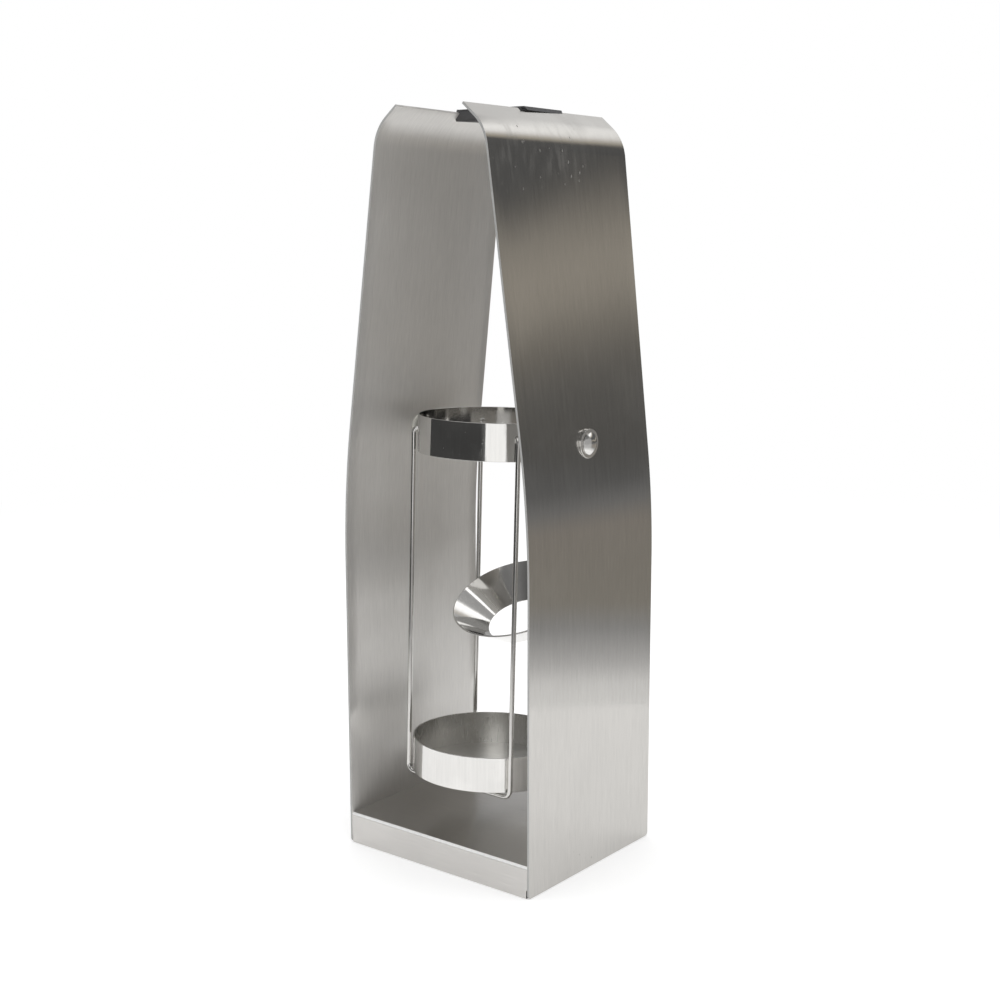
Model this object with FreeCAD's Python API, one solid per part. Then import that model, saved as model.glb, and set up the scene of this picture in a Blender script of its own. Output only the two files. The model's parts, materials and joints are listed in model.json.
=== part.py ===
# Tilting bottle cradle of folded and polished stainless steel.
#
# Two tall sides stand on a low tray and lean together at the top, where a rubber
# clip holds their lips apart. A ring hangs on two pivot bolts between the sides,
# and two bent wires carry a round dish below it. A conical collar slides up and
# down on the two rear wires, which run through an eye on each side of it.
#
# Millimetres, +Z up, the front towards -Y. The origin is the centre of the
# footprint, on the surface that the cradle stands on.
import FreeCAD, Part
import math
import os

V = FreeCAD.Vector

# Sides
sheet = 2.0
frame_width = 196.0
frame_depth = 172.0
side_straight = 250.0
side_bend_radius = 860.0
side_lean = 7.2
front_toe_in = 0.85
top_bend_height = 589.5
top_bend_radius = 36.0
ridge_fall = 3.8
lip_turn = 50.5
lip_length = 14.2
foot_corner_radius = 3.0

# Tray between the sides
floor_height = 27.0
tray_bend_radius = 2.5
corner_slit_width = 0.8
corner_slit_height = 7.0

# Rubber clip on the two lips
clip_length = 55.0
clip_offset = 13.8
clip_skew = 13.0
clip_cap = 2.7
clip_cap_edge = 1.2
clip_cap_grip = 2.8
clip_wedge_grip = 6.0
clip_wedge_blunt = 2.0
clip_crown_dip = 0.3
clip_gap = 0.05

# Pivots
pivot_height = 359.0
bolt_radius = 4.0
bolt_head_radius = 9.0
bolt_head_height = 4.2
bolt_head_edge = 0.6
washer_radius = 12.0
washer_least = 0.6
bush_radius = 6.0
bush_flange_radius = 9.0
bush_flange_least = 1.5
spacer_radius = 7.0
boss_radius = 9.0
boss_reach = 5.0
running_gap = 0.05
seat_gap = 0.02
end_gap = 0.15

# Ring, dish and wires
ring_radius = 68.0
ring_height = 31.0
ring_wall = 1.2
dish_radius = 68.0
dish_rim_height = 98.0
dish_height = 29.5
dish_wall = 1.2
dish_floor_thickness = 1.2
wire_radius = 2.0
wire_angle = 39.0
wire_stand_off = 1.4
wire_seat_gap = 0.03
hook_rise = 3.5
hook_bend_radius = 4.5
hook_inside = 2.5
hook_hole_gap = 0.1
foot_bend_radius = 6.5
hang_angle = 2.3

# Collar
collar_mouth_radius = 56.2
collar_end_radius = 31.1
collar_height = 25.5
collar_wall = 1.5
collar_droop = 26.4
collar_back = 28.2
collar_drop = 145.1
eye_radius = 3.8
eye_height = 9.0
eye_drop = 8.0
eye_web = 2.0

# Worked out from the sizes above
half_width = frame_width / 2
half_depth = frame_depth / 2
wire_reach = max(ring_radius, dish_radius) + wire_stand_off + wire_radius
wire_x = wire_reach * math.cos(math.radians(wire_angle))
wire_y = wire_reach * math.sin(math.radians(wire_angle))
dish_bottom = dish_rim_height - dish_height
hook_height = pivot_height + hook_rise
pivot = V(0, 0, pivot_height)
along_x = V(1, 0, 0)
along_y = V(0, 1, 0)
along_z = V(0, 0, 1)


def foot_run_drop():
    """How far the wires' runs lie below the dish, so that its edge rests in their bends."""
    reach = wire_radius + wire_seat_gap
    drops = []
    for step in range(91):
        turn = math.radians(step)
        x = wire_x - foot_bend_radius * (1 - math.cos(turn))
        out = max(0.0, math.hypot(x, wire_y) - dish_radius)
        if out < reach:
            drops.append(foot_bend_radius * (1 - math.sin(turn)) + math.sqrt(reach**2 - out**2))
    return max(drops)


foot_run_height = dish_bottom - foot_run_drop()


def box(x0, x1, y0, y1, z0, z1):
    return Part.makeBox(x1 - x0, y1 - y0, z1 - z0, V(x0, y0, z0))


def rod_x(radius, x0, x1):
    """A round bar on the pivot axis, from x0 to x1."""
    return Part.makeCylinder(radius, x1 - x0, V(x0, 0, pivot_height), along_x)


def tube_z(radius, wall, z0, z1):
    outer = Part.makeCylinder(radius, z1 - z0, V(0, 0, z0))
    inner = Part.makeCylinder(radius - wall, z1 - z0 + 2, V(0, 0, z0 - 1))
    return outer.cut(inner)


def arc_points(centre_x, centre_z, radius, start, end):
    """Start, middle and end of an arc in the XZ plane; angles in radians from +X."""
    return [
        (centre_x + radius * math.cos(a), centre_z + radius * math.sin(a))
        for a in (start, (start + end) / 2, end)
    ]


# Side profile: upright, a wide bend, a straight lean, a tight bend and a lip
def side_path(inset, lean, bend_height):
    """Points of the right side's profile, inset from its outer face, from foot to lip."""
    lean = math.radians(lean)
    turn = math.radians(lip_turn)
    wide_x = half_width - side_bend_radius
    wide = arc_points(wide_x, side_straight, side_bend_radius - inset, 0, lean)
    end_x = wide_x + side_bend_radius * math.cos(lean)
    end_z = side_straight + side_bend_radius * math.sin(lean)
    start_x = end_x - (bend_height - end_z) * math.tan(lean)
    tight_x = start_x - top_bend_radius * math.cos(lean)
    tight_z = bend_height - top_bend_radius * math.sin(lean)
    tight = arc_points(tight_x, tight_z, top_bend_radius - inset, lean, turn)
    tip_x = tight[2][0] - lip_length * math.sin(turn)
    tip_z = tight[2][1] + lip_length * math.cos(turn)
    foot = (half_width - inset, 0)
    return foot, wide, tight, (tip_x, tip_z)


def side_wire(y, outer_inset, inner_inset, lean, bend_height):
    def at(point):
        return V(point[0], y, point[1])

    def run(path):
        foot, wide, tight, tip = path
        return [
            Part.makeLine(at(foot), at(wide[0])),
            Part.Arc(*[at(p) for p in wide]).toShape(),
            Part.makeLine(at(wide[2]), at(tight[0])),
            Part.Arc(*[at(p) for p in tight]).toShape(),
            Part.makeLine(at(tight[2]), at(tip)),
        ]

    outer = side_path(outer_inset, lean, bend_height)
    inner = side_path(inner_inset, lean, bend_height)
    lip_end = Part.makeLine(at(outer[3]), at(inner[3]))
    foot_end = Part.makeLine(at(inner[0]), at(outer[0]))
    edges = run(outer) + [lip_end] + run(inner) + [foot_end]
    return Part.Wire(Part.__sortEdges__(edges))


def side_blank(outer_inset=0.0, inner_inset=sheet):
    """The right side as a solid sheet; its front edge leans in further than its rear edge."""
    front = side_wire(
        -half_depth, outer_inset, inner_inset, side_lean + front_toe_in, top_bend_height + ridge_fall
    )
    rear = side_wire(
        half_depth, outer_inset, inner_inset, side_lean - front_toe_in, top_bend_height - ridge_fall
    )
    return Part.makeLoft([front, rear], True, True)


def mirrored(shape):
    return shape.mirror(V(0, 0, 0), along_x)


def side_face_x(z, inset=0.0):
    """Distance of the side's face from the middle, at mid depth and within the wide bend."""
    rise = max(0.0, z - side_straight)
    lean = math.radians(side_lean)
    bend_top = side_bend_radius * math.sin(lean)
    if rise <= bend_top:
        drop = side_bend_radius - math.sqrt(side_bend_radius**2 - rise**2)
    else:
        drop = side_bend_radius * (1 - math.cos(lean)) + (rise - bend_top) * math.tan(lean)
    return half_width - drop - inset


def split_by(shape, cutter):
    """The pieces of a shape on the inner and the outer side of a sheet that crosses it."""
    pieces = shape.cut(cutter).Solids
    pieces.sort(key=lambda s: s.CenterOfMass.x)
    return pieces[0], pieces[-1]


blank = side_blank()


def make_side():
    side = blank.cut(rod_x(bush_radius + seat_gap, 0, frame_width))
    r = foot_corner_radius
    for front in (-1, 1):
        y = front * half_depth
        corner = box(0, half_width + 1, min(y, y - front * r), max(y, y - front * r), 0, r)
        round_bar = Part.makeCylinder(r, half_width + 1, V(0, y - front * r, r), along_x)
        side = side.cut(corner.cut(round_bar))
    return side


# Tray: one sheet with its front and rear edges folded down
def make_tray():
    r = tray_bend_radius
    y = half_depth
    t = sheet
    k = math.sqrt(0.5)

    def fold(reach, top, radius):
        """Half of a folded line, from the middle of the floor to the foot of the skirt."""
        middle = (reach - radius + radius * k, top - radius + radius * k)
        return [(0, top), (reach - radius, top), middle, (reach, top - radius), (reach, 0)]

    def edges(points, side):
        p = [V(0, side * a, b) for a, b in points]
        return [
            Part.makeLine(p[0], p[1]),
            Part.Arc(p[1], p[2], p[3]).toShape(),
            Part.makeLine(p[3], p[4]),
        ]

    outer = fold(y, floor_height, r)
    inner = fold(y - t, floor_height - t, r - t)
    lines = []
    for side in (-1, 1):
        lines += edges(outer, side) + edges(inner, side)
        lines.append(Part.makeLine(V(0, side * y, 0), V(0, side * (y - t), 0)))
    face = Part.Face(Part.Wire(Part.__sortEdges__(lines)))
    half = half_width - t
    tray = face.extrude(V(2 * half, 0, 0))
    tray.translate(V(-half, 0, 0))
    for x in (-half, half - corner_slit_width):
        for y0 in (-y - 1, y - t - 1):
            tray = tray.cut(box(x, x + corner_slit_width, y0, y0 + t + 2, -1, corner_slit_height))
    return tray


# Clip: a rubber bar, cut off askew, with a slanted slot on each side for the lips
def make_clip():
    tip_x, tip_z = side_path(0, side_lean, top_bend_height)[3]
    turn = math.radians(lip_turn)
    out = V(math.cos(turn), 0, math.sin(turn))
    back = V(math.sin(turn), 0, -math.cos(turn))
    tip = V(tip_x, 0, tip_z)
    cap_edge = tip + back * clip_cap_grip
    wedge_tip = tip + back * clip_wedge_grip - out * sheet
    bottom = wedge_tip.z - clip_wedge_blunt
    right = [
        V(wedge_tip.x - clip_wedge_blunt / 2, 0, bottom),
        V(wedge_tip.x, 0, bottom + clip_wedge_blunt / 2),
        wedge_tip,
        cap_edge,
        cap_edge + out * clip_cap_edge,
        tip + out * clip_cap,
        V(0, 0, tip_z + clip_cap * out.z - clip_crown_dip),
    ]
    left = [V(-p.x, 0, p.z) for p in reversed(right[:-1])]
    slant = math.tan(math.radians(clip_skew))
    corners = [V(p.x, -p.x * slant, p.z) for p in right + left + right[:1]]
    outline = Part.makePolygon(corners)
    bar = Part.Face(outline).extrude(V(0, clip_length, 0))
    bar.translate(V(0, clip_offset - clip_length / 2, 0))
    slot = side_blank(-clip_gap, sheet + clip_gap)
    reach = clip_gap * 4
    slot = slot.fuse(slot.translated(-back * reach))
    return bar.cut(slot).cut(mirrored(slot))


# Pivot: the cradle turns on two bolts in bushes, one in each side
washer_face = side_face_x(pivot_height - washer_radius) + washer_least
flange_face = side_face_x(pivot_height + bush_flange_radius, sheet) - bush_flange_least
boss_face = ring_radius + boss_reach
spacer_face = flange_face - end_gap
head_face = washer_face + end_gap


def make_washer():
    """A taper washer: flat outside, and lying on the leaning side inside."""
    disc = split_by(rod_x(washer_radius, flange_face, washer_face), blank)[1]
    return disc.cut(rod_x(bolt_radius + running_gap * 2, 0, frame_width))


def make_bush():
    flange = split_by(rod_x(bush_flange_radius, flange_face, frame_width), blank)[0]
    sleeve = rod_x(bush_radius, flange_face, frame_width).common(blank)
    return flange.fuse(sleeve).removeSplitter().cut(rod_x(bolt_radius + running_gap, 0, frame_width))


def make_bolt():
    shank = rod_x(bolt_radius, ring_radius + seat_gap, head_face + bolt_head_edge)
    edge = rod_x(bolt_head_radius, head_face, head_face + bolt_head_edge)
    rise = bolt_head_height - bolt_head_edge
    dome_radius = (bolt_head_radius**2 + rise**2) / (2 * rise)
    dome_x = head_face + bolt_head_height - dome_radius
    ball = Part.makeSphere(dome_radius, V(dome_x, 0, pivot_height))
    start = head_face + bolt_head_edge
    dome = ball.common(rod_x(bolt_head_radius, start, start + bolt_head_height))
    return shank.fuse([edge, dome]).removeSplitter()


def make_spacer():
    outer = rod_x(spacer_radius, boss_face, spacer_face)
    return outer.cut(rod_x(bolt_radius + seat_gap, 0, frame_width))


def make_boss():
    """A round boss welded to the ring, its inner face lying on the ring's wall."""
    blank_boss = rod_x(boss_radius, 0, boss_face)
    ring_body = Part.makeCylinder(ring_radius, ring_height * 2, V(0, 0, pivot_height - ring_height))
    outside = blank_boss.cut(ring_body)
    return outside.cut(rod_x(bolt_radius + seat_gap, 0, frame_width))


# Cradle
def wire_leg(side_x, side_y):
    """Edges of one upright of a wire yoke, from the hook in the ring to the foot bend."""
    angle = math.radians(wire_angle)
    out = V(side_x * math.cos(angle), side_y * math.sin(angle), 0)
    k = math.sqrt(0.5)
    r = hook_bend_radius
    hook_end = out * (ring_radius - ring_wall - hook_inside) + along_z * hook_height
    hook_in = out * (wire_reach - r) + along_z * hook_height
    hook_mid = out * (wire_reach - r + r * k) + along_z * (hook_height - r + r * k)
    top = out * wire_reach + along_z * (hook_height - r)
    f = foot_bend_radius
    x = side_x * wire_x
    y = side_y * wire_y
    bottom = V(x, y, foot_run_height + f)
    foot_mid = V(x - side_x * (f - f * k), y, foot_run_height + f - f * k)
    foot_out = V(x - side_x * f, y, foot_run_height)
    edges = [
        Part.makeLine(hook_end, hook_in),
        Part.Arc(hook_in, hook_mid, top).toShape(),
        Part.makeLine(top, bottom),
        Part.Arc(bottom, foot_mid, foot_out).toShape(),
    ]
    return edges, hook_end, out, foot_out


def make_yoke(side_y):
    left, start, out, left_foot = wire_leg(-1, side_y)
    right, end, other, right_foot = wire_leg(1, side_y)
    run = Part.makeLine(left_foot, right_foot)
    path = Part.Wire(Part.__sortEdges__(left + [run] + right))
    section = Part.Wire(Part.makeCircle(wire_radius, start, out))
    return path.makePipeShell([section], True, False)


def hook_holes():
    """Holes in the ring, as wide as the bent hooks that come through them."""
    holes = []
    for side_x in (-1, 1):
        for side_y in (-1, 1):
            edges, start, out, foot = wire_leg(side_x, side_y)
            section = Part.Wire(Part.makeCircle(wire_radius + hook_hole_gap, start, out))
            holes.append(Part.Wire(edges[:2]).makePipeShell([section], True, False))
    return holes


def make_ring():
    low = pivot_height - ring_height / 2
    ring = tube_z(ring_radius, ring_wall, low, low + ring_height)
    return ring.cut(hook_holes())


def make_dish_band():
    return tube_z(dish_radius, dish_wall, dish_bottom, dish_rim_height)


def make_dish_floor():
    return Part.makeCylinder(dish_radius - dish_wall, dish_floor_thickness, V(0, 0, dish_bottom))


def collar_cone(large, small, over):
    """A solid cone about the collar's axis, drooping to the front, longer by over at each end."""
    slope = (large - small) / collar_height
    cone = Part.makeCone(small - over * slope, large + over * slope, collar_height + 2 * over)
    cone.translate(V(0, 0, -collar_height - over))
    cone.rotate(V(0, 0, 0), along_x, collar_droop)
    cone.translate(V(0, collar_back, pivot_height - collar_drop))
    return cone


def make_collar():
    slope = (collar_mouth_radius - collar_end_radius) / collar_height
    across = collar_wall * math.sqrt(1 + slope**2)
    inner = collar_cone(collar_mouth_radius - across, collar_end_radius - across, 1.0)
    return collar_cone(collar_mouth_radius, collar_end_radius, 0).cut(inner)


def make_eye():
    """A short tube on the right rear wire, with a web that ends on the collar's outside."""
    top = pivot_height - collar_drop - eye_drop
    centre = V(wire_x, wire_y, top - eye_height)
    tube = Part.makeCylinder(eye_radius, eye_height, centre)
    web = Part.makeBox(wire_reach, eye_web, eye_height, V(-wire_reach, -eye_web / 2, 0))
    inward = math.degrees(math.atan2(wire_y - collar_back, wire_x))
    web.rotate(V(0, 0, 0), along_z, inward)
    web.translate(centre)
    lug = tube.fuse(web).cut(collar_cone(collar_mouth_radius, collar_end_radius, 0))
    lug = lug.cut(Part.makeCylinder(wire_radius + running_gap, pivot_height, V(wire_x, wire_y, 0)))
    return max(lug.Solids, key=lambda solid: solid.CenterOfMass.x)


def hung(shape):
    """The cradle hangs with its dish a little forward, because the collar weighs on the back."""
    shape.rotate(pivot, along_x, -hang_angle)
    return shape


fixed = {
    "base_tray": make_tray(),
    "top_bridge_clip": make_clip(),
    "right_side_panel": make_side(),
    "left_side_panel": mirrored(make_side()),
    "right_pivot_washer": make_washer(),
    "left_pivot_washer": mirrored(make_washer()),
    "right_pivot_bush": make_bush(),
    "left_pivot_bush": mirrored(make_bush()),
}

cradle = {
    "upper_ring": make_ring(),
    "dish_band": make_dish_band(),
    "dish_floor": make_dish_floor(),
    "front_wire_yoke": make_yoke(-1),
    "rear_wire_yoke": make_yoke(1),
    "right_pivot_bolt": make_bolt(),
    "left_pivot_bolt": mirrored(make_bolt()),
    "right_pivot_spacer": make_spacer(),
    "left_pivot_spacer": mirrored(make_spacer()),
    "right_ring_boss": make_boss(),
    "left_ring_boss": mirrored(make_boss()),
    "cone_collar": make_collar(),
    "right_collar_eye": make_eye(),
    "left_collar_eye": mirrored(make_eye()),
}

os.makedirs("parts", exist_ok=True)
nodes = dict(fixed)
for name, shape in cradle.items():
    nodes[name] = hung(shape)
for name, shape in nodes.items():
    shape.exportStep(f"parts/{name}.step")
    print(name, "solids", len(shape.Solids), "valid", shape.isValid(), "volume", round(shape.Volume, 1))
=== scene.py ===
import json
import math

import bpy
from bpy.props import FloatProperty, FloatVectorProperty, PointerProperty
from mathutils import Matrix, Vector

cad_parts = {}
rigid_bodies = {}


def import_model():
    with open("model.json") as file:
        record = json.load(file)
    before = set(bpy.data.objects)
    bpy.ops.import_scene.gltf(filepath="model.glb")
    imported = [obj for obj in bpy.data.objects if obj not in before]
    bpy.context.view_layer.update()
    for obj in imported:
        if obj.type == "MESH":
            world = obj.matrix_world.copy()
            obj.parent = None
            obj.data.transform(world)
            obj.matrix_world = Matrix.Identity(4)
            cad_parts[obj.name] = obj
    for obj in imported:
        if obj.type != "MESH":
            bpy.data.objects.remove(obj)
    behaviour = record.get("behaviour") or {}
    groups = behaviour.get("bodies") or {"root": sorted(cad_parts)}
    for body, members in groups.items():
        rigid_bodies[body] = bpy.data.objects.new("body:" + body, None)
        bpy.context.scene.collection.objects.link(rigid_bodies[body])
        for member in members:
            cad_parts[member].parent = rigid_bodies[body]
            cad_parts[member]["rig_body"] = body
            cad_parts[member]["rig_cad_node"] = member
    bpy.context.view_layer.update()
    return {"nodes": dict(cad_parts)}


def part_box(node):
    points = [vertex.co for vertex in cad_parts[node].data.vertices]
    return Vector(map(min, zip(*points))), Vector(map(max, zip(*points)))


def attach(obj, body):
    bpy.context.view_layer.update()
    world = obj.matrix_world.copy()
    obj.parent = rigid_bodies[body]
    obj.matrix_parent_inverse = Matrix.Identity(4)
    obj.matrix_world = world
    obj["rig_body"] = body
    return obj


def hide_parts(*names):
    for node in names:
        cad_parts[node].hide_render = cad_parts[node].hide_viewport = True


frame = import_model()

bl_info = {
    "name": "Tilting bottle cradle",
    "version": (1, 0, 0),
    "blender": (4, 5, 0),
    "location": "3D View > Sidebar > Cradle",
    "description": "Builds the brushed and polished pieces of a tilting bottle cradle",
    "category": "Add Mesh",
}

ALONG_X = Vector((1, 0, 0))
ALONG_Y = Vector((0, 1, 0))
ALONG_Z = Vector((0, 0, 1))
QUARTER_TURN = math.pi / 2
CORNERS = ((-1, -1), (-1, 1), (1, -1), (1, 1))

# Modelling: lengths in metres, angles in degrees
SEED_SIZE = 0.01
SAME_POINT = 2e-6
CLOSE = 1e-5
FLAT_ANGLE = 1
SHARP_ANGLE = 40
SHARP_ON_CAD = 35
SHARP_ON_WIRE = 50
NORMAL_WEIGHT = 60
EDGE_ROUNDING = 0.0003
TRAY_ROUNDING = 0.00025
BOSS_ROUNDING = 0.0004
BUSH_ROUNDING = 0.0002
CLIP_ROUNDING = 0.0004
BUSH_HOLE_RADIUS = 0.00602
BUSH_DRILL_LENGTH = 0.2
HOOK_HOLE_ROOM = 0.0002
HOOK_HOLE_DROP = 0.0001
HOOK_DRILL_LENGTH = 0.01

# A rim's rounding is this share of its wall, or of the wire's radius
RIM_ROUNDING = 0.3
RIM_SEGMENTS = 3

# What lies within this many radii of a wire's end belongs to it
WIRE_END_REACH = 1.02

# How finely things are drawn: corners of round things, steps along a sheet's line, cuts across it
BAND_CORNERS = 192
DISH_FLOOR_CORNERS = 128
CONE_CORNERS = 160
WIRE_CORNERS = 20
BUSH_HOLE_CORNERS = 48
HOOK_HOLE_CORNERS = 24
DISH_FLOOR_RINGS = 3
WIRE_BEND_STEPS = 8
FOOT_SEGMENTS = 5
UPRIGHT_STEPS = 10
WIDE_BEND_STEPS = 14
TIGHT_BEND_STEPS = 16
LIP_STEPS = 2
SKIRT_STEPS = 3
FOLD_STEPS = 6
TRAY_STEPS = 12
SIDE_CUTS = 13
TRAY_CUTS = 11

# What a face's normal tells it by: an inner face, a front or rear edge, the upper half of a fold of the
# tray, which gets a painted highlight
INNER_FACE = -0.3
EDGE_FACE = 0.8
PAINTED_HIGHLIGHT_FOLD_FACE = 0.35

# Each cap of the clip is cut back at one end: (from, to, cut), with from and to below the clip's top
CLIP_CAP_REACH = 0.003
CLIP_END = 0.004
CLIP_CUTS = ((-0.0005, 0.0005, 0.005), (0.0025, 0.0034, 0.0085), (0.007, 0.01, 0.013))
CLIP_CLOSE = 0.001
CLIP_LIP_DEPTH = 0.0034
CLIP_MIDDLE_SINK = 0.0008
CLIP_REAR_START = 0.03
CLIP_REAR_SINK = 0.0018

# Where the sides and the tray are worn: (centre, reach) of each patch
SIDE_SCUFFS = (((0.061, -0.055, 0.588), (0.02, 0.035, 0.04)), ((0.062, 0.0, 0.585), (0.02, 0.06, 0.035)))
SIDE_PITS = (((0.098, -0.012, 0.012), (0.006, 0.036, 0.016)),)
TRAY_PITS = (((0.01, -0.004, 0.027), (0.035, 0.03, 0.004)),)

# The share of a dot's or a patch's radius that is at full strength
DOT_CORE = 0.4
PATCH_CORE = 0.3

# Textures, in features per metre: across and along the grain, or along X, Y and Z
FINE_GRAIN = (2300, 60, 1)
BROAD_GRAIN = (330, 14, 1)
SCUFF_GRAIN = (140, 30, 1)
SCUFF_SPECKS = (180, 90, 1)
CLOUDS = (18, 18, 18)
PITS = (230, 230, 230)
POLISH_SCRATCHES = (500, 500, 500)
BAND_SCRATCHES = (500, 500, 12)
DISH_WALL_SCRATCHES = (400, 400, 30)
DISH_FLOOR_SCRATCHES = (90, 700, 90)
WIRE_SCRATCHES = (700, 700, 30)
EDGE_SCRATCHES = (200, 900, 900)
POLISH_WIPING = (45, 45, 45)
POLISH_SPECKS = (260, 260, 260)
POLISH_WAVES = (30, 30, 30)
DUST = (120, 120, 120)

# Polished steel's lines are this many times finer than its scratches
LINES_FINER = 3

# The roughness of the wires and the fasteners is the polished pieces' times this
WIRE_DULLER = 1.5
FASTENER_DULLER = 2

# How far the grain of brushed steel draws its highlights out, from 0 to 1
SIDE_STRETCH = 1.0
INNER_STRETCH = 0.85
TRAY_STRETCH = 0.9

# How metallic the sheared edges, the folded edges with their painted highlight, and the inside of the dish
# are
EDGE_METAL = 0.05
DISH_METAL = 0.97

# Dull materials: roughness, grain in features per metre, strength of its relief
RUBBER_SKIN = (0.7, 900, 0.4)
NYLON_SKIN = (0.45, 1500, 0.2)

# The stage: the white table, the floor beyond it, the room and the lights, in metres
TABLE_RADIUS = 0.5
FLOOR_RADIUS = 6.0
DISC_CORNERS = 96
FLOOR_GAP = 0.0004
FLOOR_FADE = (0.9, 1.8)
FLOOR_SHADE = 0.8
ROOM_RADIUS = 4.0
ROOM_CORNERS = 64
ROOM_RINGS = 32
LAMP_SIZE = 1.8
LAMP_PLACE = (0.2, -0.1, 1.85)
SOFTBOX_AWAY = 2.0

# Cards that the metal reflects: name, azimuth in degrees, lower edge, upper edge, width, glow
SOFTBOXES = (
    ("softbox_front", -56, 0.0, 1.3, 1.0, 1.25),
    ("softbox_strip", 31, 2.2, 3.2, 0.28, 1.6),
)

# What the metal reflects: (height in metres, level) of the walls, (metres away, level) of the floor
BANDED_WALL = (
    (-0.6, 0.16), (0.0, 0.16), (0.10, 0.14), (0.40, (0.125, 0.12, 0.112)), (0.48, 0.165),
    (0.56, (0.165, 0.155, 0.14)), (0.62, (0.19, 0.18, 0.16)), (0.70, (0.35, 0.325, 0.285)),
    (0.78, (0.46, 0.425, 0.37)), (0.94, (0.47, 0.435, 0.38)), (1.03, (0.19, 0.18, 0.165)),
    (1.09, 0.115), (1.28, 0.12), (2.00, 0.135), (2.06, (0.34, 0.315, 0.28)), (2.20, (0.58, 0.54, 0.46)),
    (2.34, (0.78, 0.74, 0.68)), (2.50, 1.25), (2.75, 1.6), (2.90, 1.6), (2.97, 0.42),
)
DARK_WALL = (
    (0.0, 0.055), (0.25, 0.08), (0.5, 0.22), (0.9, 0.34), (1.6, 0.2), (2.0, 0.1), (2.9, 0.35),
    (3.2, 1.1), (3.5, 1.2),
)
BRIGHT_WALL = ((0.0, 0.42), (1.2, 0.42), (2.0, 0.52), (2.5, 0.9), (3.5, 1.1))
GREY_WALL = ((0.0, 0.45), (2.0, 0.45), (2.3, 0.2), (3.5, 0.2))
WALL_LOW, WALL_HIGH = -0.6, 3.5

# The dark, bright and banded walls: azimuth, and how far off it each ends and is whole, in degrees
SECTORS = ((-120, 62, 42), (133, 56, 30), (62, 44, 24))

# The bands slope along the wall that faces this azimuth, up to these ends; higher up they run level
BAND_AZIMUTH = math.radians(53)
BAND_TILT = 0.35
BAND_ENDS = (-0.5, 0.7)
BAND_TILT_FADE = (1.2, 2.0)

BANDED_FLOOR = (
    (0.5, 1.05), (0.58, 0.98), (0.66, 0.68), (0.73, 0.54), (0.82, 0.38), (0.95, (0.33, 0.31, 0.275)),
    (2.0, (0.325, 0.30, 0.27)), (2.8, 0.235), (4.0, 0.165),
)
DARK_FLOOR = ((0.5, 1.05), (0.7, 1.0), (1.0, 0.2), (1.4, 0.1), (1.65, 0.065), (4, 0.06))
BRIGHT_FLOOR = ((0.5, 1.05), (0.8, 0.7), (4, 0.6))
GREY_FLOOR = ((0.5, 1.05), (0.8, 0.6), (4, 0.5))


def half_size(node, axis):
    """Half of a node's extent along an axis, 0 to 2."""
    low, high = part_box(node)
    return (high[axis] - low[axis]) / 2


# Sizes and colours that a user would change; angles are given in degrees and kept in radians


def metres(name, description, default):
    return FloatProperty(name=name, description=description, default=default, unit="LENGTH")


def degrees(name, description, default):
    return FloatProperty(name=name, description=description, default=math.radians(default), unit="ROTATION")


def fraction(name, description, default):
    return FloatProperty(name=name, description=description, default=default, min=0, max=1)


def tint(name, description, default):
    return FloatVectorProperty(
        name=name, description=description, default=default, subtype="COLOR", min=0, max=1
    )


class CradleSideSizes(bpy.types.PropertyGroup):
    sheet: metres("Sheet", "Thickness of the sides and the tray", 0.002)
    half_width: metres("Half width", "From the middle to the foot of a side", 0.098)
    half_depth: metres("Half depth", "From the middle to the front edge", half_size("right_side_panel", 1))
    straight: metres("Upright", "Height at which a side starts to lean in", 0.25)
    wide_radius: metres("Wide bend", "Radius of the wide bend of a side", 0.86)
    lean: degrees("Lean", "How far a side leans in above its wide bend", 7.2)
    toe_in: degrees("Toe-in", "How much more the front edge leans in than the middle", 0.85)
    top_height: metres("Top bend", "Height at which the tight bend starts", 0.5895)
    ridge_fall: metres("Ridge fall", "How much lower the top is at the rear than in the middle", 0.0038)
    tight_radius: metres("Tight bend", "Radius of the bend at the top", 0.036)
    lip_turn: degrees("Lip turn", "Angle of the lip from upright", 50.5)
    lip_length: metres("Lip", "Length of the flat lip", 0.0142)
    foot_radius: metres("Foot corner", "Radius of the rounded corners at the foot", 0.003)


class CradleTraySizes(bpy.types.PropertyGroup):
    fold_radius: metres("Fold", "Outer radius of the folded edges", 0.0025)
    slit_width: metres("Slit width", "Width of the slit at each lower corner", 0.0008)
    slit_height: metres("Slit height", "Height of the slit at each lower corner", 0.007)


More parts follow.
